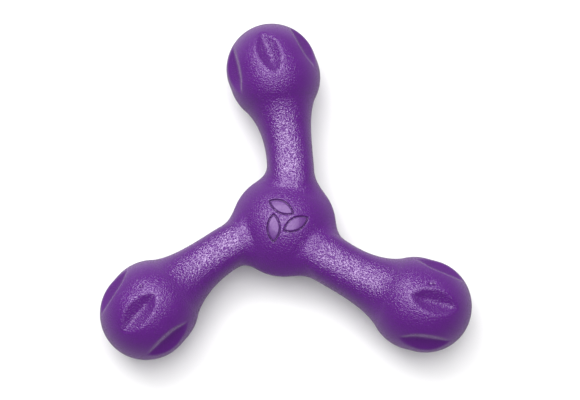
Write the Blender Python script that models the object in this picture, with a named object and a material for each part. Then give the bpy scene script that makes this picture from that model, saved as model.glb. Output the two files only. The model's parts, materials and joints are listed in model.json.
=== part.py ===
"""A three-armed soft throwing toy: a lens-shaped hub and three bowed arms that end in grooved lobes.

The toy is one foamed elastomer moulding. It is modelled as a dense skin around a foamed core, and each arm
meets the hub at a ball-shaped face in its neck, which stands for the place where the soft neck flexes.

Lengths are in metres and Z is up. The origin is the centre of the hub, on the parting plane. An arm is
drawn in its own frame, with X from the hub's centre to the lobe and Y to the anticlockwise side.
"""

import math

import bmesh
import bpy
from mathutils import Matrix, Vector
from mathutils.geometry import interpolate_bezier

# Hub: two spherical crowns that meet in a rounded rim, each with a small flat pad on top
HUB_RADIUS = 0.0302
HUB_HALF_HEIGHT = 0.0197
HUB_RIM_FILLET = 0.0060
PAD_RADIUS = 0.0070

# Arms: the line from the hub to the lobe bows to the clockwise side
ARM_HEADINGS_DEG = {"a": 93.4, "b": 212.2, "c": 328.9}
ARM_REACH = 0.0893
BOW_LEAVING = -0.0360
BOW_ARRIVING = 0.0100
NECK_RADIUS = 0.0132
SWELL_START = 0.40
SWELL_POWER = 2.45
ROOT_FLARE_END = 0.0380
ROOT_FLARE_START = 0.0220
ROOT_FLARE_RADIUS = 0.0190
ARM_START = 0.12

# Lobes: spheres drawn out along an axis that is turned from the arm's line
LOBE_RADIUS = 0.0268
LOBE_STRETCH = 0.0055
LOBE_TURN_DEG = 17.0

# Leaf-shaped V grooves, evenly spaced round each lobe's own axis
LEAF_COUNT = 6
LEAF_CENTRE = 0.0069
LEAF_HALF_LENGTH = 0.0145
LEAF_DEPTH = 0.0042
LEAF_WALL_DEG = 26.0
LEAF_LIFT = 0.0030

# Foamed core, and the flexing faces in the necks
CORE_SHARE = 0.72
PIVOT_X = 0.0410
NECK_BALL_RADIUS = 0.0160
GAP = 0.0003

# Mesh fineness
OUTER_SEGMENTS = 28
INNER_SEGMENTS = 16
STATIONS = 12
POLE_STEPS = 5

SKIN_COLOUR = (0.155, 0.040, 0.265, 1.0)
CORE_COLOUR = (0.255, 0.105, 0.380, 1.0)


def clear_scene():
    for old in list(bpy.data.objects):
        bpy.data.objects.remove(old, do_unlink=True)


def elastomer(name, colour, roughness):
    material = bpy.data.materials.new(name)
    material.use_nodes = True
    shader = material.node_tree.nodes["Principled BSDF"]
    shader.inputs["Base Color"].default_value = colour
    shader.inputs["Roughness"].default_value = roughness
    shader.inputs["Metallic"].default_value = 0.0
    return material


# ---------------------------------------------------------------- meshes from rings


def closed_skin(name, rings, first_tip, last_tip):
    """A closed mesh over rings of equally many points, fanned to a tip point at each end."""
    bm = bmesh.new()
    loops = [[bm.verts.new(point) for point in ring] for ring in rings]
    count = len(loops[0])
    for near, far in zip(loops, loops[1:]):
        for i in range(count):
            j = (i + 1) % count
            bm.faces.new((near[i], near[j], far[j], far[i]))
    for loop, tip in ((loops[0], first_tip), (loops[-1], last_tip)):
        centre = bm.verts.new(tip)
        for i in range(count):
            bm.faces.new((loop[i], loop[(i + 1) % count], centre))
    bmesh.ops.recalc_face_normals(bm, faces=bm.faces)
    mesh = bpy.data.meshes.new(name)
    bm.to_mesh(mesh)
    bm.free()
    return mesh


def ellipse(centre, side, up, half_width, half_height, segments):
    points = []
    for i in range(segments):
        turn = 2 * math.pi * i / segments
        points.append(centre + side * (half_width * math.cos(turn)) + up * (half_height * math.sin(turn)))
    return points


def place(name, mesh, heading=0.0):
    thing = bpy.data.objects.new(name, mesh)
    thing.rotation_euler.z = heading
    bpy.context.scene.collection.objects.link(thing)
    return thing


def cutter(name, mesh, heading=0.0):
    tool = place(name, mesh, heading)
    tool.hide_render = True
    tool.display_type = "WIRE"
    return tool


def combine(thing, operation, tool):
    step = thing.modifiers.new(operation.lower() + "_" + tool.name, "BOOLEAN")
    step.operation = operation
    step.solver = "EXACT"
    step.object = tool


def finish(thing, material):
    mesh = thing.data
    mesh.materials.clear()
    mesh.materials.append(material)
    mesh.shade_smooth()
    mesh.set_sharp_from_angle(angle=math.radians(35))


# ---------------------------------------------------------------- hub


def hub_mesh(name, share, gap, segments):
    """The lens, scaled by share and drawn in by gap. The two crowns and the rim fillet are tangent."""
    rise = HUB_HALF_HEIGHT - HUB_RIM_FILLET
    crown = (HUB_RADIUS**2 - 2 * HUB_RADIUS * HUB_RIM_FILLET + HUB_HALF_HEIGHT**2) / (2 * rise)
    crown_centre = HUB_HALF_HEIGHT - crown
    fillet_centre = HUB_RADIUS - HUB_RIM_FILLET
    meet = math.atan2(fillet_centre, -crown_centre)
    pad = math.asin(PAD_RADIUS / crown)
    radius = crown * share - gap
    upper = []
    for i in range(POLE_STEPS + 1):
        lean = pad + (meet - pad) * i / POLE_STEPS
        upper.append((radius * math.sin(lean), crown_centre * share + radius * math.cos(lean)))
    fillet = HUB_RIM_FILLET * share - gap
    midway = (meet + math.pi / 2) / 2
    upper.append((fillet_centre * share + fillet * math.sin(midway), fillet * math.cos(midway)))
    rim = [(HUB_RADIUS * share - gap, 0.0)]
    profile = upper + rim + [(radius, -z) for radius, z in reversed(upper)]
    x_axis, y_axis = Vector((1, 0, 0)), Vector((0, 1, 0))
    rings = [ellipse(Vector((0, 0, z)), x_axis, y_axis, radius, radius, segments) for radius, z in profile]
    top = Vector((0, 0, profile[0][1]))
    return closed_skin(name, rings, top, -top)


# ---------------------------------------------------------------- arms and lobes


def lobe_axis():
    turn = math.radians(LOBE_TURN_DEG)
    return Vector((math.cos(turn), math.sin(turn), 0.0))


def centreline():
    """Evenly spaced points from the hub's centre to the lobe's inner centre."""
    start = Vector((0.0, 0.0, 0.0))
    end = Vector((ARM_REACH, 0.0, 0.0))
    third = ARM_REACH / 3
    leaving = Vector((third, BOW_LEAVING / 3, 0.0))
    arriving = Vector((ARM_REACH - third, -BOW_ARRIVING / 3, 0.0))
    return interpolate_bezier(start, leaving, arriving, end, STATIONS * 4 + 1)


def arm_radius(x):
    swell = max(0.0, (x / ARM_REACH - SWELL_START) / (1 - SWELL_START))
    return NECK_RADIUS + (LOBE_RADIUS - NECK_RADIUS) * swell**SWELL_POWER


def root_flare(x):
    """Extra half width where the arm widens into the hub, as the start of a large fillet."""
    reach = max(0.0, ROOT_FLARE_END - max(x, ROOT_FLARE_START))
    return reach**2 / (2 * ROOT_FLARE_RADIUS)


def pivot_point():
    line = centreline()
    before = max(i for i, point in enumerate(line) if point.x <= PIVOT_X)
    part = (PIVOT_X - line[before].x) / (line[before + 1].x - line[before].x)
    return line[before].lerp(line[before + 1], part)


def arm_rings(share, gap, segments):
    """Rings of the envelope of spheres along the centreline, then round the lobe to its far pole."""
    up = Vector((0, 0, 1))
    line = centreline()
    rings = []
    first = int(ARM_START * (len(line) - 1))
    step = (len(line) - 1 - first) // STATIONS
    picks = list(range(first, len(line) - 1, step)) + [len(line) - 1]
    for i in picks:
        here = line[i]
        before = line[i - 1]
        tangent = (here - before).normalized()
        radius = arm_radius(here.x) * share - gap
        growth = (arm_radius(here.x) - arm_radius(before.x)) * share / (here - before).length
        ring_radius = radius * math.sqrt(1 - growth**2)
        centre = here - tangent * (radius * growth)
        side = up.cross(tangent)
        half_width = ring_radius + root_flare(here.x) * share
        rings.append(ellipse(centre, side, up, half_width, ring_radius, segments))
    rings += lobe_rings(radius, tangent, math.acos(growth), segments)
    last_tip = line[-1] + lobe_axis() * (LOBE_STRETCH + radius)
    return rings, line[first], last_tip


def lobe_rings(radius, tangent, start_lean, segments):
    """Rings on the inner sphere, their axis turning to the lobe's own, then on the outer sphere."""
    up = Vector((0, 0, 1))
    inner = Vector((ARM_REACH, 0.0, 0.0))
    rings = []
    inner_steps = POLE_STEPS // 2
    for i in range(1, inner_steps + 1):
        part = i / inner_steps
        axis = tangent.lerp(lobe_axis(), part).normalized()
        lean = start_lean + (math.pi / 2 - start_lean) * part
        centre = inner - axis * (radius * math.cos(lean))
        rings.append(ellipse(centre, up.cross(axis), up, radius * math.sin(lean), radius * math.sin(lean), segments))
    axis = lobe_axis()
    outer = inner + axis * LOBE_STRETCH
    for i in range(POLE_STEPS):
        lean = math.pi / 2 * i / POLE_STEPS
        ring_radius = radius * math.cos(lean)
        centre = outer + axis * (radius * math.sin(lean))
        rings.append(ellipse(centre, up.cross(axis), up, ring_radius, ring_radius, segments))
    return rings


def arm_mesh(name, share, gap, segments):
    rings, first_tip, last_tip = arm_rings(share, gap, segments)
    return closed_skin(name, rings, first_tip, last_tip)


def neck_mesh(name, gap):
    """A tool that holds everything of the arm outside the neck's ball face: a ball, then a wide drum."""
    radius = NECK_BALL_RADIUS + gap
    drum_radius = 0.040
    drum_near = 0.0005 - gap
    drum_far = 0.090
    pivot = pivot_point()
    side, up, axis = Vector((0, 1, 0)), Vector((0, 0, 1)), Vector((1, 0, 0))
    rings = []
    for i in range(1, POLE_STEPS + 1):
        lean = math.pi / 2 * i / POLE_STEPS
        centre = pivot - axis * (radius * math.cos(lean))
        rings.append(ellipse(centre, side, up, radius * math.sin(lean), radius * math.sin(lean), OUTER_SEGMENTS))
    for reach in (drum_near, drum_far):
        rings.append(ellipse(pivot + axis * reach, side, up, drum_radius, drum_radius, OUTER_SEGMENTS))
    return closed_skin(name, rings, pivot - axis * radius, pivot + axis * drum_far)


def meridian(length):
    """Point and outward normal on the lobe's crown line, at a length from the middle of the lobe."""
    half = LOBE_STRETCH / 2
    if abs(length) <= half:
        return Vector((length, 0, LOBE_RADIUS)), Vector((0, 0, 1))
    sign = math.copysign(1.0, length)
    lean = (abs(length) - half) / LOBE_RADIUS
    normal = Vector((sign * math.sin(lean), 0, math.cos(lean)))
    return Vector((sign * half, 0, 0)) + normal * LOBE_RADIUS, normal


def leaves_mesh(name):
    """Six boat-shaped wedges, each with straight walls and a keel that is deepest in the middle."""
    lobe_middle = Vector((ARM_REACH, 0, 0)) + lobe_axis() * (LOBE_STRETCH / 2)
    turn = Matrix.Rotation(math.radians(LOBE_TURN_DEG), 4, "Z")
    slope = math.tan(math.radians(LEAF_WALL_DEG))
    lateral = Vector((0, 1, 0))
    steps = 8
    bm = bmesh.new()
    for k in range(LEAF_COUNT):
        roll = Matrix.Rotation(2 * math.pi * k / LEAF_COUNT, 4, "X")
        to_arm = Matrix.Translation(lobe_middle) @ turn @ roll
        rings = []
        for i in range(steps + 1):
            along = 2 * i / steps - 1
            point, normal = meridian(LEAF_CENTRE + along * LEAF_HALF_LENGTH)
            depth = LEAF_DEPTH * (1 - along**2)
            keel = point - normal * depth
            lip = point + normal * LEAF_LIFT
            spread = lateral * ((depth + LEAF_LIFT) / slope)
            rings.append([to_arm @ keel, to_arm @ (lip + spread), to_arm @ (lip - spread)])
        ends = [sum(ring, Vector()) / 3 for ring in (rings[0], rings[-1])]
        wedge = closed_skin(name + str(k), rings, *ends)
        bm.from_mesh(wedge)
        bpy.data.meshes.remove(wedge)
    mesh = bpy.data.meshes.new(name)
    bm.to_mesh(mesh)
    bm.free()
    return mesh


# ---------------------------------------------------------------- pieces


def shaped_mesh(thing, shift):
    """The evaluated mesh of a thing with Booleans, moved by shift, and the thing taken away."""
    graph = bpy.context.evaluated_depsgraph_get()
    mesh = bpy.data.meshes.new_from_object(thing.evaluated_get(graph))
    mesh.transform(Matrix.Translation(shift))
    bpy.data.objects.remove(thing, do_unlink=True)
    return mesh


def arm_meshes():
    """Skin and core of one arm, drawn with the neck's pivot at the origin."""
    neck_tool = cutter("neck_tool", neck_mesh("neck_tool", 0.0))
    cavity_tool = cutter("arm_cavity_tool", arm_mesh("arm_cavity_tool", CORE_SHARE, 0.0, INNER_SEGMENTS))
    leaf_tool = cutter("leaf_tool", leaves_mesh("leaf_tool"))
    skin = place("arm_skin", arm_mesh("arm_skin", 1.0, 0.0, OUTER_SEGMENTS))
    combine(skin, "INTERSECT", neck_tool)
    combine(skin, "DIFFERENCE", leaf_tool)
    combine(skin, "DIFFERENCE", cavity_tool)
    core = place("arm_core", arm_mesh("arm_core", CORE_SHARE, GAP, INNER_SEGMENTS))
    combine(core, "INTERSECT", neck_tool)
    pivot = pivot_point()
    return shaped_mesh(skin, -pivot), shaped_mesh(core, -pivot)


def body_tools(share, gap, segments, label):
    mesh = arm_mesh(label, share, gap, segments)
    return [cutter(f"{label}_{arm}", mesh, math.radians(deg)) for arm, deg in ARM_HEADINGS_DEG.items()]


def add_hub(skin_material, core_material):
    neck_tools = []
    mesh = neck_mesh("neck_dish_tool", GAP)
    for arm, heading in ARM_HEADINGS_DEG.items():
        neck_tools.append(cutter("neck_dish_tool_" + arm, mesh, math.radians(heading)))
    cavity = cutter("hub_cavity_tool", hub_mesh("hub_cavity_tool", CORE_SHARE, 0.0, OUTER_SEGMENTS))
    for tool in body_tools(CORE_SHARE, 0.0, INNER_SEGMENTS, "cavity_arm_tool"):
        combine(cavity, "UNION", tool)
    skin = place("hub_skin", hub_mesh("hub_skin", 1.0, 0.0, OUTER_SEGMENTS))
    for tool in body_tools(1.0, 0.0, OUTER_SEGMENTS, "skin_arm_tool"):
        combine(skin, "UNION", tool)
    core = place("hub_core", hub_mesh("hub_core", CORE_SHARE, GAP, OUTER_SEGMENTS))
    for tool in body_tools(CORE_SHARE, GAP, INNER_SEGMENTS, "core_arm_tool"):
        combine(core, "UNION", tool)
    for tool in neck_tools:
        combine(skin, "DIFFERENCE", tool)
        combine(core, "DIFFERENCE", tool)
    combine(skin, "DIFFERENCE", cavity)
    finish(skin, skin_material)
    finish(core, core_material)


def add_arms(skin_material, core_material):
    skin_mesh, core_mesh = arm_meshes()
    for arm, degrees in ARM_HEADINGS_DEG.items():
        heading = math.radians(degrees)
        pivot = bpy.data.objects.new("neck_pivot_" + arm, None)
        pivot.location = Matrix.Rotation(heading, 4, "Z") @ pivot_point()
        pivot.rotation_euler.z = heading
        bpy.context.scene.collection.objects.link(pivot)
        for layer, mesh, material in (("skin", skin_mesh, skin_material), ("core", core_mesh, core_material)):
            thing = place(f"arm_{arm}_{layer}", mesh)
            thing.parent = pivot
            finish(thing, material)


def main():
    clear_scene()
    skin_material = elastomer("purple_elastomer_skin", SKIN_COLOUR, 0.40)
    core_material = elastomer("purple_elastomer_foam", CORE_COLOUR, 0.85)
    add_hub(skin_material, core_material)
    add_arms(skin_material, core_material)


main()
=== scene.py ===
"""The looks of the three-armed soft throwing toy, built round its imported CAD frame.

The toy is one moulding, so its whole surface is one implicit shape: a lens-shaped hub and three bowed arms
with grooved lobes, joined by small fillets. A rough blank is remeshed and settled onto that shape, then
divided at the arm roots, so that each arm can bend with its joint while the seams stay closed.

Lengths are in metres. An arm is described in its own frame, with X from the hub's centre to the lobe's inner
centre and Y to the anticlockwise side. A distance below is negative inside the toy.
"""

import json
import math

import bmesh
import bpy
import numpy as np
from mathutils import Matrix, Vector

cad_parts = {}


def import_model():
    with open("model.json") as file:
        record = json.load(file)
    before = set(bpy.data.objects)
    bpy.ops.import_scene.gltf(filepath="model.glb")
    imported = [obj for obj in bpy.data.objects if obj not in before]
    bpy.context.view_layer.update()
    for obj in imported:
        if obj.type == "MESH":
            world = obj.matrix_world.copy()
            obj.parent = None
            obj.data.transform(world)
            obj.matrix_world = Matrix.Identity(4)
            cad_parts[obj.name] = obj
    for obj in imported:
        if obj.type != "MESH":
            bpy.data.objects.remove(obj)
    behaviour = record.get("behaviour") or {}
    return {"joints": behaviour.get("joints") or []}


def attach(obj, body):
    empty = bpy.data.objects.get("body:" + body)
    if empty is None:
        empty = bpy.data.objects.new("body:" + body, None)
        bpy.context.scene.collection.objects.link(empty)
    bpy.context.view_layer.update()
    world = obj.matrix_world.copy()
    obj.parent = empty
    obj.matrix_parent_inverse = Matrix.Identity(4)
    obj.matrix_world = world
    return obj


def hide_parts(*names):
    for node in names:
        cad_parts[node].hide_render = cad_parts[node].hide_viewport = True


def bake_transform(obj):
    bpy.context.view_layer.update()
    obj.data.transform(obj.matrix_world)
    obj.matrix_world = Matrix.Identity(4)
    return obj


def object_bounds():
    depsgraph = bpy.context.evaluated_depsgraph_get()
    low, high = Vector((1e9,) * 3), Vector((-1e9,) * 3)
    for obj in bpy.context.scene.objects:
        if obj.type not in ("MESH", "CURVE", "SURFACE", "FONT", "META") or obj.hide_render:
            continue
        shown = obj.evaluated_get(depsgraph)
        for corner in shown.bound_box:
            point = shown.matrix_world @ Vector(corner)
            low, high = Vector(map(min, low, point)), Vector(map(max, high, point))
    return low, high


# Hub, with a flat pad on each crown
HUB_RADIUS = 0.0303
HUB_HALF_HEIGHT = 0.0197
HUB_RIM_FILLET = 0.0060
PAD_RADIUS = 0.0070
PAD_BLEND = 0.0005

# Arms
ARM_REACH = 0.0893
BOW_LEAVING = -0.0295
BOW_ARRIVING = 0.0120
NECK_RADIUS = 0.0132
SWELL_START = 0.40
SWELL_POWER = 2.45

# An arm's section is a little squarer than a circle, until it swells into the lobe
SQUARENESS = 0.5
# Unevenness of the moulding: how far each arm's bow leans anticlockwise, and how much stouter its root is
UNEVEN = {"arm_a": (-0.0006, 0.0010), "arm_b": (-0.0006, -0.0011), "arm_c": (0.0017, 0.0022)}

# Lobes and their leaf-shaped grooves
LOBE_RADIUS = 0.0268
LOBE_STRETCH = 0.0055
LOBE_TURN = math.radians(17.0)
LEAF_COUNT = 6
LEAF_CENTRE = 0.0069
LEAF_HALF_LENGTH = 0.0145
LEAF_DEPTH = 0.0042
LEAF_WALL = math.radians(26.0)
LEAF_RIM_FILLET = 0.0009
LEAF_KEEL_FILLET = 0.0006

# Fillets between hub and arm: crisp on the arm's top, wide at the parting plane
CREASE_FILLET = 0.0012
SIDE_FILLET = 0.0061

# Emblem on the hub: three leaves with engraved outlines
EMBLEM_LEAVES = 3
EMBLEM_TURN = math.radians(100.0)
EMBLEM_SWEEP = math.radians(50.0)
EMBLEM_OUT = 0.0075
EMBLEM_HALF_LENGTH = 0.0078
EMBLEM_HALF_WIDTH = 0.0036
EMBLEM_LINE = 0.00045
EMBLEM_DEPTH = 0.00090
EMBLEM_REACH = 0.0155
EMBLEM_CUTS = 3

# Inside
CORE_SHARE = 0.72
CORE_GAP = 0.0003

# Moulding details: a low ridge round the parting plane, and small pits by arm, each given by how far along
# and across the lobe's axis it lies from the lobe's outer centre
PARTING_HEIGHT = 0.00012
PARTING_WIDTH = 0.00045
PIT_RADIUS = 0.0012
PIT_DEPTH = 0.0009
PITS = {"arm_b": [(-0.0084, -0.0090)], "arm_c": [(-0.0012, 0.0092), (0.0008, 0.0100)]}

# The bend of an arm: centred on its hinge, from just inside the hub's rim to where the lobe begins to swell
BEND_START = 0.0260

# Skin: slow patches of colour, a stipple, a gloss that is highest on the arms, and a painted reflection that
# lightens the colour at grazing angles
BODY_DARK = (0.092, 0.0140, 0.176)
BODY_LIGHT = (0.103, 0.0170, 0.195)
PATCH_SCALE = 60
GRAIN_SCALE = 1150
GRAIN_HEIGHT = 0.00050
# The grain's valleys are duller than its peaks: share of the specular at each, and the noise between them
GLINT = (0.20, 1.90)
GLINT_BAND = (0.40, 0.60)
DULL_SPECULAR = 0.50
GLOSSY_SPECULAR = 0.82
SPECULAR_TINT = (0.88, 0.72, 0.98)
SKIN_IOR = 1.62
SKIN_ROUGHNESS = 0.12
MATTE_ROUGHNESS = 0.38
# Painted reflection: the pale colour the skin turns towards at grazing angles, and how tightly it keeps to
# the edge
PAINTED_REFLECTION_COLOUR = (0.40, 0.28, 0.50)
PAINTED_REFLECTION_POWER = 2.6

# What the details take from the grain, how much painted shade darkens the colour in the leaf walls, along
# the emblem's outlines and in the pits, and what the details add to the gloss and the roughness
LOBE_GRAIN_LOSS = 0.15
WALL_GRAIN_LOSS = 0.15
EMBLEM_GRAIN_LOSS = 0.8
WALL_PAINTED_SHADE = 0.15
LINE_PAINTED_SHADE = 0.6
PIT_PAINTED_SHADE = 0.35
EMBLEM_GLOSS = 0.6
WALL_ROUGHNESS = 0.3
# The glossy stretch of an arm, measured from the hub's centre, and how softly it starts and ends
GLOSS_START, GLOSS_RISE = 0.025755, 0.004
GLOSS_END, GLOSS_FALL = 0.082, 0.016

# Foamed inside
FOAM_DARK = (0.16, 0.06, 0.26)
FOAM_LIGHT = (0.26, 0.11, 0.38)
FOAM_SCALE = 1200
FOAM_DEPTH = 0.0004
FOAM_ROUGHNESS = 0.85

# Meshing
SKIN_VOXEL = 0.00055
CORE_VOXEL = 0.0013
BALL_START = 0.010
BALL_STEP = 0.002
ENVELOPE_ROUNDS = 6
LEAST_SLOPE = 0.05
SHARP_ANGLE = math.radians(60)

# Stage
FLOOR_HALF_SIZE = 8
FLOOR_ROUGHNESS = 0.9
GLOW_START = 0.35
GLOW_END = 1.4
CAMERA_TILT = math.radians(11)
CAMERA_PLACE = (0.00365, 0.01468, 0.9913)  # along the camera's own axes
CAMERA_LENS = 105.5


# ---------------------------------------------------------------- frame


def arm_frames(frame):
    """The heading of each arm body's hub-to-lobe line, worked out from its hinge axis."""
    frames = {}
    for joint in frame["joints"]:
        axis = joint["axis"]
        frames[joint["child"]] = math.atan2(axis[0], -axis[1])
    return frames


def to_arm(points, heading):
    c, s = math.cos(heading), math.sin(heading)
    x = points[:, 0] * c + points[:, 1] * s
    y = points[:, 1] * c - points[:, 0] * s
    return x, y, points[:, 2]


def from_arm(x, y, heading):
    c, s = math.cos(heading), math.sin(heading)
    return Vector((x * c - y * s, x * s + y * c, 0.0))


# ---------------------------------------------------------------- the shape


def smooth_min(a, b, width):
    overlap = np.clip(1 - np.abs(a - b) / width, 0, None)
    return np.minimum(a, b) - overlap**2 * width / 4


def smooth_max(a, b, width):
    return -smooth_min(-a, -b, width)


def smooth_abs(v, width):
    return np.sqrt(v * v + width * width) - width


def hub_distance(points, share, gap):
    """Two spherical crowns joined by a rim fillet, all tangent, with a flat pad on each crown."""
    rise = HUB_HALF_HEIGHT - HUB_RIM_FILLET
    crown = (HUB_RADIUS**2 - 2 * HUB_RADIUS * HUB_RIM_FILLET + HUB_HALF_HEIGHT**2) / (2 * rise)
    crown_centre = HUB_HALF_HEIGHT - crown
    fillet_centre = HUB_RADIUS - HUB_RIM_FILLET
    meet = math.atan2(fillet_centre, -crown_centre)
    pad = crown_centre + math.sqrt(crown**2 - PAD_RADIUS**2)
    out = np.hypot(points[:, 0], points[:, 1])
    up = np.abs(points[:, 2])
    to_crown = np.hypot(out, up - crown_centre * share) - (crown * share - gap)
    to_fillet = np.hypot(out - fillet_centre * share, up) - (HUB_RIM_FILLET * share - gap)
    on_crown = np.arctan2(out, up - crown_centre * share) < meet
    lens = np.where(on_crown, to_crown, to_fillet)
    return smooth_max(lens, up - (pad * share - gap), PAD_BLEND)


def bow(x):
    """How far to its anticlockwise side an arm's centreline lies."""
    t = np.clip(x / ARM_REACH, 0, 1)
    return (1 - t) ** 2 * t * BOW_LEAVING - (1 - t) * t**2 * BOW_ARRIVING


def bow_slope(x):
    t = np.clip(x / ARM_REACH, 0, 1)
    return ((1 - t) * (1 - 3 * t) * BOW_LEAVING - t * (2 - 3 * t) * BOW_ARRIVING) / ARM_REACH


def swell(x):
    """An arm's radius, growing from the neck's to the lobe's."""
    part = np.clip((x / ARM_REACH - SWELL_START) / (1 - SWELL_START), 0, None)
    return NECK_RADIUS + (LOBE_RADIUS - NECK_RADIUS) * part**SWELL_POWER


def swell_slope(x):
    part = np.clip((x / ARM_REACH - SWELL_START) / (1 - SWELL_START), 0, None)
    growth = SWELL_POWER * part ** (SWELL_POWER - 1)
    return (LOBE_RADIUS - NECK_RADIUS) * growth / (ARM_REACH * (1 - SWELL_START))


def arm_distance(x, y, z, share, gap):
    """Distance to balls of growing radius strung on the bowed centreline, and to the lobe at its end."""
    straight = np.clip((1 - x / ARM_REACH) / (1 - SWELL_START), 0, 1)
    power = 2 + SQUARENESS * straight**2
    across = y - bow(x)
    rounded = (np.abs(across) ** power + np.abs(z) ** power) ** (1 / power)
    rounded /= np.maximum(np.hypot(across, z), 1e-9)
    y, z = bow(x) + across * rounded, z * rounded
    at = np.clip(x, 0, ARM_REACH)
    for _ in range(ENVELOPE_ROUNDS):
        apart = np.sqrt((x - at) ** 2 + (y - bow(at)) ** 2 + z**2)
        at = np.clip(x + (y - bow(at)) * bow_slope(at) + swell_slope(at) * share * apart, 0, ARM_REACH)
    tube = np.sqrt((x - at) ** 2 + (y - bow(at)) ** 2 + z**2) - (swell(at) * share - gap)
    along_x, along_y = math.cos(LOBE_TURN), math.sin(LOBE_TURN)
    along = np.clip((x - ARM_REACH) * along_x + y * along_y, 0, LOBE_STRETCH)
    off_x = x - ARM_REACH - along * along_x
    off_y = y - along * along_y
    lobe = np.sqrt(off_x**2 + off_y**2 + z**2) - (LOBE_RADIUS * share - gap)
    return np.minimum(tube, lobe)


def leaf_distance(x, y, z):
    """Distance to the nearest leaf groove: negative in the wedge that the groove takes away."""
    c, s = math.cos(LOBE_TURN), math.sin(LOBE_TURN)
    half = LOBE_STRETCH / 2
    dx, dy = x - ARM_REACH - half * c, y - half * s
    along, lateral = dx * c + dy * s, dy * c - dx * s
    out = np.hypot(lateral, z)
    pitch = 2 * math.pi / LEAF_COUNT
    roll = np.arctan2(lateral, z)
    roll = roll - pitch * np.round(roll / pitch)
    across, up = out * np.sin(roll), out * np.cos(roll)
    beyond = np.clip(np.abs(along) - half, 0, None)
    arc = np.sign(along) * (half + LOBE_RADIUS * np.arctan2(beyond, up))
    length = np.where(beyond > 0, arc, along)
    depth = LOBE_RADIUS - np.hypot(beyond, up)
    keel = LEAF_DEPTH * (1 - ((length - LEAF_CENTRE) / LEAF_HALF_LENGTH) ** 2)
    wall = math.tan(LEAF_WALL) * smooth_abs(across, LEAF_KEEL_FILLET)
    return (depth - keel + wall) * math.cos(LEAF_WALL)


def emblem_distance(x, y):
    """Plan distance to the outline of the nearest emblem leaf, negative inside it."""
    bulge = (EMBLEM_HALF_LENGTH**2 + EMBLEM_HALF_WIDTH**2) / (2 * EMBLEM_HALF_WIDTH)
    nearest = np.full(len(x), 1.0)
    for i in range(EMBLEM_LEAVES):
        turn = EMBLEM_TURN + i * 2 * math.pi / EMBLEM_LEAVES
        dx, dy = x - EMBLEM_OUT * math.cos(turn), y - EMBLEM_OUT * math.sin(turn)
        c, s = math.cos(turn + EMBLEM_SWEEP), math.sin(turn + EMBLEM_SWEEP)
        along, across = dx * c + dy * s, np.abs(dy * c - dx * s)
        nearest = np.minimum(nearest, np.hypot(along, across + bulge - EMBLEM_HALF_WIDTH) - bulge)
    return nearest


def emblem_groove(points):
    """How deep the emblem's engraved outlines are at each point."""
    outline = emblem_distance(points[:, 0], points[:, 1]) / EMBLEM_LINE
    return np.where(points[:, 2] > 0, EMBLEM_DEPTH * np.exp(-(outline**2)), 0)


def pit_groove(points, frames):
    """How deep the moulding pits are at each point."""
    depth = np.zeros(len(points))
    for body, pits in PITS.items():
        x, y, z = to_arm(points, frames[body])
        c, s = math.cos(LOBE_TURN), math.sin(LOBE_TURN)
        dx, dy = x - ARM_REACH - LOBE_STRETCH * c, y - LOBE_STRETCH * s
        along, across = dx * c + dy * s, dy * c - dx * s
        for pit_along, pit_across in pits:
            off = ((along - pit_along) ** 2 + (across - pit_across) ** 2) / PIT_RADIUS**2
            depth += np.where(z > 0, PIT_DEPTH * np.exp(-2 * off), 0)
    return depth


def body_distance(points, frames, share=1.0, gap=0.0, detail=False):
    """Distance to the whole toy, or to its inside at a smaller share of each radius, less a gap."""
    hub = hub_distance(points, share, gap)
    outward = np.stack([to_arm(points, h)[0] for h in frames.values()])
    nearest = outward.argmax(0)
    arm = np.empty(len(points))
    groove = np.ones(len(points))
    for i, (body, heading) in enumerate(frames.items()):
        pick = nearest == i
        x, y, z = to_arm(points[pick], heading)
        lean, stout = UNEVEN[body]
        left = np.clip(1 - x / ARM_REACH, 0, 1)
        aside = lean * left**2 * (1 - left) * 27 / 4  # the whole lean at a third of the reach
        arm[pick] = arm_distance(x, y - aside, z, share, gap) - stout * share * left**1.5
        groove[pick] = leaf_distance(x, y, z)
    level = np.clip(1 - (points[:, 2] / (NECK_RADIUS * share)) ** 2, 0, None)
    whole = smooth_min(hub, arm, CREASE_FILLET + SIDE_FILLET * level)
    if detail:
        far_out = outward.max(0) > ARM_REACH - LOBE_RADIUS
        cut = smooth_max(whole, -groove, LEAF_RIM_FILLET)
        whole = np.where(far_out, cut, whole)
        whole = whole - PARTING_HEIGHT * np.exp(-((points[:, 2] / PARTING_WIDTH) ** 2))
        whole = whole + emblem_groove(points) + pit_groove(points, frames)
    return whole


def slope(points, distance, step=0.00004):
    """Gradient of a distance by central differences."""
    columns = []
    for axis in range(3):
        shift = np.zeros(3)
        shift[axis] = step
        columns.append((distance(points + shift) - distance(points - shift)) / (2 * step))
    return np.stack(columns, 1)


def settle(points, distance, rounds=3):
    """Moves each point onto the surface along the distance's gradient."""
    for _ in range(rounds):
        gradient = slope(points, distance)
        scale = np.maximum((gradient**2).sum(1), LEAST_SLOPE)
        points = points - gradient * (distance(points) / scale)[:, None]
    return points


# ---------------------------------------------------------------- meshes


def unit_ball():
    """Vertices and triangles of a ball of radius 1."""
    bm = bmesh.new()
    bmesh.ops.create_icosphere(bm, subdivisions=4, radius=1)
    vertices = np.array([v.co[:] for v in bm.verts])
    faces = np.array([[v.index for v in f.verts] for f in bm.faces])
    bm.free()
    return vertices, faces


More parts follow.
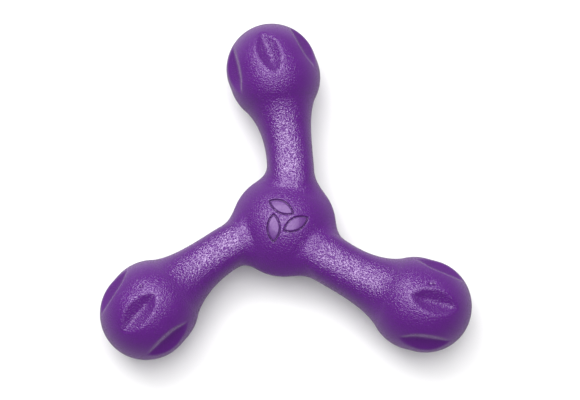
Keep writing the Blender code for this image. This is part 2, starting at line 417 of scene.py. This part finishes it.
def blank_mesh(frames, share):
    """Overlapping balls along the arms and a flattened ball for the hub, as a start for the remesh."""
    vertices, faces = unit_ball()
    balls = [((0, 0, 0), (HUB_RADIUS, HUB_RADIUS, HUB_HALF_HEIGHT))]
    for heading in frames.values():
        for x in np.arange(BALL_START, ARM_REACH, BALL_STEP):
            balls.append((from_arm(x, float(bow(x)), heading), (float(swell(x)),) * 3))
        for stretch in np.linspace(0, LOBE_STRETCH, 4):
            x = ARM_REACH + stretch * math.cos(LOBE_TURN)
            balls.append((from_arm(x, stretch * math.sin(LOBE_TURN), heading), (LOBE_RADIUS,) * 3))
    points = np.concatenate([vertices * size * share + np.array(centre) for centre, size in balls])
    triangles = np.concatenate([faces + len(vertices) * i for i in range(len(balls))])
    mesh = bpy.data.meshes.new("blank")
    mesh.from_pydata(points.tolist(), [], triangles.tolist())
    return mesh


def coordinates(mesh):
    co = np.empty(len(mesh.vertices) * 3, np.float32)
    mesh.vertices.foreach_get("co", co)
    return co.reshape(-1, 3).astype(float)


def relaxed(points, edges):
    """Each point moved halfway to the mean of its neighbours."""
    total = np.zeros_like(points)
    count = np.zeros(len(points))
    for a, b in ((0, 1), (1, 0)):
        np.add.at(total, edges[:, a], points[edges[:, b]])
        np.add.at(count, edges[:, a], 1)
    return (points + total / count[:, None]) / 2


def settled_body(name, frames, voxel, share, gap, detail):
    """A closed even mesh of the whole toy's surface."""
    thing = bpy.data.objects.new(name, blank_mesh(frames, share))
    bpy.context.scene.collection.objects.link(thing)
    remesh = thing.modifiers.new("even", "REMESH")
    remesh.mode = "VOXEL"
    remesh.voxel_size = voxel
    graph = bpy.context.evaluated_depsgraph_get()
    mesh = bpy.data.meshes.new_from_object(thing.evaluated_get(graph))
    bpy.data.objects.remove(thing, do_unlink=True)

    def plain(p):
        return body_distance(p, frames, share, gap)

    def full(p):
        return body_distance(p, frames, share, gap, detail)

    edges = np.empty(len(mesh.edges) * 2, np.int32)
    mesh.edges.foreach_get("vertices", edges)
    edges = edges.reshape(-1, 2)
    points = settle(coordinates(mesh), plain)
    for _ in range(3):
        points = settle(relaxed(points, edges), plain, 1)
    if detail:
        points = settle(points, full, 4)
        points = settle(relaxed(points, edges), full, 2)
    mesh.vertices.foreach_set("co", points.astype(np.float32).ravel())
    mesh.update()
    return mesh


def part_of(mesh, headings, keep):
    """The closed part of a body on the hub, or on the arm with the heading keep, cut at the arm roots."""
    bm = bmesh.new()
    bm.from_mesh(mesh)
    cuts = headings if keep is None else [keep]
    for heading in cuts:
        outward = Vector((math.cos(heading), math.sin(heading), 0))
        everything = bm.verts[:] + bm.edges[:] + bm.faces[:]
        cut = bmesh.ops.bisect_plane(
            bm,
            geom=everything,
            plane_co=outward * BEND_START,
            plane_no=outward,
            clear_outer=keep is None,
            clear_inner=keep is not None,
        )
        rim = [part for part in cut["geom_cut"] if isinstance(part, bmesh.types.BMEdge)]
        bmesh.ops.holes_fill(bm, edges=rim, sides=0)
    part = bpy.data.meshes.new(mesh.name + "_part")
    bm.to_mesh(part)
    bm.free()
    return part


def refine_emblem(mesh, frames):
    """Splits the crown's faces round the emblem and settles them, so that its lines are cut cleanly."""
    bm = bmesh.new()
    bm.from_mesh(mesh)
    top = HUB_HALF_HEIGHT / 2
    near = [f for f in bm.faces if f.calc_center_median().xy.length < EMBLEM_REACH and f.verts[0].co.z > top]
    edges = list({e for f in near for e in f.edges})
    bmesh.ops.subdivide_edges(bm, edges=edges, cuts=EMBLEM_CUTS, use_grid_fill=True)
    bm.to_mesh(mesh)
    bm.free()
    points = coordinates(mesh)
    pick = (np.hypot(points[:, 0], points[:, 1]) < EMBLEM_REACH) & (points[:, 2] > top)

    def full(p):
        return body_distance(p, frames, detail=True)

    points[pick] = settle(points[pick], full, 6)
    mesh.vertices.foreach_set("co", points.astype(np.float32).ravel())
    mesh.update()


def paint_finish_and_shade(mesh, frames):
    """Records the finish at each vertex: grain, gloss and roughness as a colour, and as its alpha a painted
    shade that darkens the leaf walls, the emblem's outlines and the pits.
    """
    points = coordinates(mesh)
    out = np.hypot(points[:, 0], points[:, 1])
    leaf = np.full(len(points), 1.0)
    for heading in frames.values():
        x, y, z = to_arm(points, heading)
        near = x > ARM_REACH - LOBE_RADIUS
        leaf[near] = leaf_distance(x[near], y[near], z[near])
    wall = np.clip(0.5 - leaf / LEAF_RIM_FILLET, 0, 1)
    outline = emblem_distance(points[:, 0], points[:, 1]) / EMBLEM_LINE
    on_top = points[:, 2] > 0
    emblem = np.clip(-outline, 0, 1) * on_top
    line = np.exp(-(outline**2)) * on_top
    pit = pit_groove(points, frames) / PIT_DEPTH
    on_arm = np.clip((out - GLOSS_START) / GLOSS_RISE, 0, 1) * np.clip((GLOSS_END - out) / GLOSS_FALL, 0, 1)
    grain = 1 - LOBE_GRAIN_LOSS * (1 - on_arm)
    grain *= (1 - WALL_GRAIN_LOSS * wall) * (1 - EMBLEM_GRAIN_LOSS * emblem)
    gloss = on_arm + EMBLEM_GLOSS * emblem
    roughness = np.maximum(WALL_ROUGHNESS * wall, emblem)
    # Painted shade: the colour is darkened in the leaf walls, along the emblem's engraved outlines and in
    # the pits
    painted_shade = (1 - WALL_PAINTED_SHADE * wall) * (1 - LINE_PAINTED_SHADE * line) * (1 - PIT_PAINTED_SHADE * pit)
    colours = np.stack([grain, gloss, roughness, painted_shade], 1).astype(np.float32)
    finish_and_painted_shade = mesh.color_attributes.new("finish_and_painted_shade", "FLOAT_COLOR", "POINT")
    finish_and_painted_shade.data.foreach_set("color", colours.ravel())


def add_piece(name, mesh, material):
    thing = bpy.data.objects.new(name, mesh)
    bpy.context.scene.collection.objects.link(thing)
    mesh.materials.clear()
    mesh.materials.append(material)
    mesh.shade_smooth()
    mesh.set_sharp_from_angle(angle=SHARP_ANGLE)
    return thing


def hollow(thing, inside):
    """The thing with another closed mesh taken out of it."""
    tool = bpy.data.objects.new("tool", inside)
    bpy.context.scene.collection.objects.link(tool)
    step = thing.modifiers.new("cavity", "BOOLEAN")
    step.operation = "DIFFERENCE"
    step.solver = "EXACT"
    step.object = tool
    graph = bpy.context.evaluated_depsgraph_get()
    mesh = bpy.data.meshes.new_from_object(thing.evaluated_get(graph))
    thing.modifiers.clear()
    thing.data = mesh
    bpy.data.objects.remove(tool, do_unlink=True)


# ---------------------------------------------------------------- materials


def principled(name):
    material = bpy.data.materials.new(name)
    material.use_nodes = True
    tree = material.node_tree
    return material, tree, tree.nodes["Principled BSDF"]


def skin_material():
    """Satin purple elastomer: a fine stipple with dull valleys and bright peaks, and smoother details; its
    colour is lightened by a painted reflection at grazing angles and darkened by painted shade in the
    details.
    """
    material, tree, shader = principled("satin_elastomer")
    nodes, links = tree.nodes, tree.links
    where = nodes.new("ShaderNodeTexCoord").outputs["Object"]
    finish_and_painted_shade = nodes.new("ShaderNodeAttribute")
    finish_and_painted_shade.attribute_name = "finish_and_painted_shade"
    parts = nodes.new("ShaderNodeSeparateColor")
    links.new(finish_and_painted_shade.outputs["Color"], parts.inputs["Color"])
    grain_share, gloss, matte = parts.outputs
    painted_shade = finish_and_painted_shade.outputs["Alpha"]

    def noise(scale, detail):
        texture = nodes.new("ShaderNodeTexNoise")
        texture.inputs["Scale"].default_value = scale
        texture.inputs["Detail"].default_value = detail
        links.new(where, texture.inputs["Vector"])
        return texture.outputs["Fac"]

    def ranged(value, low, high, start=0.0, end=1.0):
        span = nodes.new("ShaderNodeMapRange")
        span.inputs["From Min"].default_value = start
        span.inputs["From Max"].default_value = end
        span.inputs["To Min"].default_value = low
        if isinstance(high, float):
            span.inputs["To Max"].default_value = high
        else:
            links.new(high, span.inputs["To Max"])
        links.new(value, span.inputs["Value"])
        return span.outputs["Result"]

    def calculated(operation, first, second):
        step = nodes.new("ShaderNodeMath")
        step.operation = operation
        for socket, value in zip(step.inputs, (first, second)):
            if isinstance(value, float):
                socket.default_value = value
            else:
                links.new(value, socket)
        return step.outputs["Value"]

    def mixed(share, first, second, blend="MIX"):
        mix = nodes.new("ShaderNodeMix")
        mix.data_type = "RGBA"
        mix.blend_type = blend
        for name, value in (("Factor", share), ("A", first), ("B", second)):
            socket = [i for i in mix.inputs if i.name == name and i.enabled][0]
            if isinstance(value, tuple):
                socket.default_value = (*value, 1)
            else:
                links.new(value, socket)
        return [o for o in mix.outputs if o.enabled][0]

    body = mixed(noise(PATCH_SCALE, 3), BODY_DARK, BODY_LIGHT)
    # Painted reflection: the colour turns paler towards grazing angles
    facing = nodes.new("ShaderNodeLayerWeight")
    facing.inputs["Blend"].default_value = 0.5
    painted_reflection = calculated("POWER", facing.outputs["Facing"], PAINTED_REFLECTION_POWER)
    with_painted_reflection = mixed(painted_reflection, body, PAINTED_REFLECTION_COLOUR)
    # Painted shade from the attribute's alpha darkens the colour
    with_painted_shade = nodes.new("ShaderNodeVectorMath")
    with_painted_shade.operation = "SCALE"
    links.new(with_painted_reflection, with_painted_shade.inputs[0])
    links.new(painted_shade, with_painted_shade.inputs["Scale"])
    links.new(with_painted_shade.outputs["Vector"], shader.inputs["Base Color"])

    bump = nodes.new("ShaderNodeBump")
    bump.inputs["Strength"].default_value = 1.0
    bump.inputs["Distance"].default_value = GRAIN_HEIGHT
    grain = noise(GRAIN_SCALE, 2)
    links.new(calculated("MULTIPLY", grain, grain_share), bump.inputs["Height"])
    links.new(bump.outputs["Normal"], shader.inputs["Normal"])

    glint = ranged(grain_share, 1.0, ranged(grain, *GLINT, *GLINT_BAND))
    specular = calculated("MULTIPLY", ranged(gloss, DULL_SPECULAR, GLOSSY_SPECULAR), glint)
    links.new(specular, shader.inputs["Specular IOR Level"])
    links.new(ranged(matte, SKIN_ROUGHNESS, MATTE_ROUGHNESS), shader.inputs["Roughness"])
    shader.inputs["Specular Tint"].default_value = (*SPECULAR_TINT, 1)
    shader.inputs["IOR"].default_value = SKIN_IOR
    return material


def foam_material():
    """Dull closed-cell foam, paler than the skin."""
    material, tree, shader = principled("closed_cell_foam")
    nodes, links = tree.nodes, tree.links
    where = nodes.new("ShaderNodeTexCoord")
    cells = nodes.new("ShaderNodeTexVoronoi")
    cells.inputs["Scale"].default_value = FOAM_SCALE
    links.new(where.outputs["Object"], cells.inputs["Vector"])
    colour = nodes.new("ShaderNodeMix")
    colour.data_type = "RGBA"
    colour.inputs["A"].default_value = (*FOAM_DARK, 1)
    colour.inputs["B"].default_value = (*FOAM_LIGHT, 1)
    links.new(cells.outputs["Distance"], colour.inputs["Factor"])
    links.new(colour.outputs["Result"], shader.inputs["Base Color"])
    bump = nodes.new("ShaderNodeBump")
    bump.inputs["Distance"].default_value = FOAM_DEPTH
    links.new(cells.outputs["Distance"], bump.inputs["Height"])
    links.new(bump.outputs["Normal"], shader.inputs["Normal"])
    shader.inputs["Roughness"].default_value = FOAM_ROUGHNESS
    return material


# ---------------------------------------------------------------- stage


def by_ray(tree, lighting, seen, reflected):
    """A value that depends on the ray: lighting the scene, seen by the camera, or reflected by the toy."""
    path = tree.nodes.new("ShaderNodeLightPath")
    value = tree.nodes.new("ShaderNodeMapRange")
    value.inputs["To Min"].default_value = lighting
    value.inputs["To Max"].default_value = reflected
    tree.links.new(path.outputs["Is Glossy Ray"], value.inputs["Value"])
    final = tree.nodes.new("ShaderNodeMapRange")
    final.inputs["To Max"].default_value = seen
    tree.links.new(value.outputs["Result"], final.inputs["To Min"])
    tree.links.new(path.outputs["Is Camera Ray"], final.inputs["Value"])
    return final.outputs["Result"]


def floor_material():
    """White paper that glows away from the toy, as a studio sweep lit by lamps of its own does."""
    material, tree, shader = principled("white_sweep")
    nodes, links = tree.nodes, tree.links
    grey = nodes.new("ShaderNodeCombineColor")
    for channel in grey.inputs[:3]:
        links.new(by_ray(tree, lighting=0.9, seen=0.9, reflected=0.1), channel)
    links.new(grey.outputs["Color"], shader.inputs["Base Color"])
    shader.inputs["Roughness"].default_value = FLOOR_ROUGHNESS
    shader.inputs["Specular IOR Level"].default_value = 0
    shader.inputs["Emission Color"].default_value = (1, 1, 1, 1)
    where = nodes.new("ShaderNodeTexCoord")
    away = nodes.new("ShaderNodeVectorMath")
    away.operation = "LENGTH"
    links.new(where.outputs["Object"], away.inputs[0])
    glow = nodes.new("ShaderNodeMapRange")
    glow.inputs["From Min"].default_value = GLOW_START
    glow.inputs["From Max"].default_value = GLOW_END
    links.new(away.outputs["Value"], glow.inputs["Value"])
    links.new(by_ray(tree, lighting=0.2, seen=1.0, reflected=0.0), glow.inputs["To Max"])
    links.new(glow.outputs["Result"], shader.inputs["Emission Strength"])
    return material


def add_floor(level, frames):
    """A floor that touches whatever is lowest, a lobe or the hub, however the arms are flexed."""
    mesh = bpy.data.meshes.new("floor")
    half = FLOOR_HALF_SIZE
    corners = [(-half, -half, level), (half, -half, level), (half, half, level), (-half, half, level)]
    mesh.from_pydata(corners, [], [(0, 1, 2, 3)])
    mesh.materials.append(floor_material())
    floor = bpy.data.objects.new("floor", mesh)
    bpy.context.scene.collection.objects.link(floor)
    height = floor.driver_add("location", 2).driver
    height.type = "MIN"
    markers = {body: from_arm(ARM_REACH, 0, heading) for body, heading in frames.items()}
    markers["hub"] = (0, 0, -HUB_HALF_HEIGHT - level)
    for body, place in markers.items():
        marker = bpy.data.objects.new(f"{body}_floor_marker", None)
        marker.location = place
        bpy.context.scene.collection.objects.link(marker)
        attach(marker, body)
        follow = height.variables.new()
        follow.type = "TRANSFORMS"
        follow.targets[0].id = marker
        follow.targets[0].transform_type = "LOC_Z"
        follow.targets[0].transform_space = "WORLD_SPACE"


def add_softbox(name, position, size, power):
    light = bpy.data.lights.new(name, "AREA")
    light.shape = "SQUARE"
    light.size = size
    light.energy = power
    lamp = bpy.data.objects.new(name, light)
    lamp.location = position
    lamp.rotation_mode = "QUATERNION"
    lamp.rotation_quaternion = Vector(position).to_track_quat("Z", "Y")
    bpy.context.scene.collection.objects.link(lamp)


def add_surroundings(fill, reflected):
    """Pale walls that fill the shadows, seen dimmer in the toy's reflections than the softbox."""
    world = bpy.data.worlds.new("pale_studio")
    world.use_nodes = True
    sky = world.node_tree.nodes["Background"]
    sky.inputs["Color"].default_value = (1, 1, 1, 1)
    strength = by_ray(world.node_tree, lighting=fill, seen=1.0, reflected=reflected)
    world.node_tree.links.new(strength, sky.inputs["Strength"])
    bpy.context.scene.world = world


def add_camera():
    """Nearly overhead, tilted a little towards -Y and about a metre away."""
    lens = bpy.data.cameras.new("camera")
    lens.lens = CAMERA_LENS
    camera = bpy.data.objects.new("camera", lens)
    camera.rotation_euler = (CAMERA_TILT, 0, 0)
    camera.location = Matrix.Rotation(CAMERA_TILT, 3, "X") @ Vector(CAMERA_PLACE)
    bpy.context.scene.collection.objects.link(camera)
    bpy.context.scene.camera = camera


# ---------------------------------------------------------------- main


def main():
    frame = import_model()
    cad_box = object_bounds()
    frames = arm_frames(frame)
    headings = list(frames.values())

    skin = settled_body("skin", frames, SKIN_VOXEL, 1.0, 0.0, True)
    cavity = settled_body("cavity", frames, CORE_VOXEL, CORE_SHARE, 0.0, False)
    core = settled_body("core", frames, CORE_VOXEL, CORE_SHARE, CORE_GAP, False)
    satin = skin_material()
    foam = foam_material()

    pieces = [("hub", "skin", skin, satin), ("hub", "core", core, foam)]
    for body in frames:
        pieces += [(body, "skin", skin, satin), (body, "core", core, foam)]
    for body, layer, whole, material in pieces:
        mesh = part_of(whole, headings, frames.get(body))
        if body == "hub" and layer == "skin":
            refine_emblem(mesh, frames)
        thing = add_piece(f"moulded_{body}_{layer}", mesh, material)
        if layer == "skin":
            hollow(thing, cavity)
            paint_finish_and_shade(thing.data, frames)
        if body == "hub":
            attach(thing, body)
        else:
            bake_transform(thing)
        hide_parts(f"{body}_{layer}")

    add_floor(cad_box[0].z, frames)
    add_softbox("overhead", position=(-0.05, 0.233, 1.2), size=1.35, power=21)
    add_softbox("key", position=(-0.42, 0.62, 0.95), size=0.70, power=4.5)
    add_surroundings(fill=0.38, reflected=0.02)
    add_camera()
    bpy.context.scene.view_settings.view_transform = "Standard"


main()
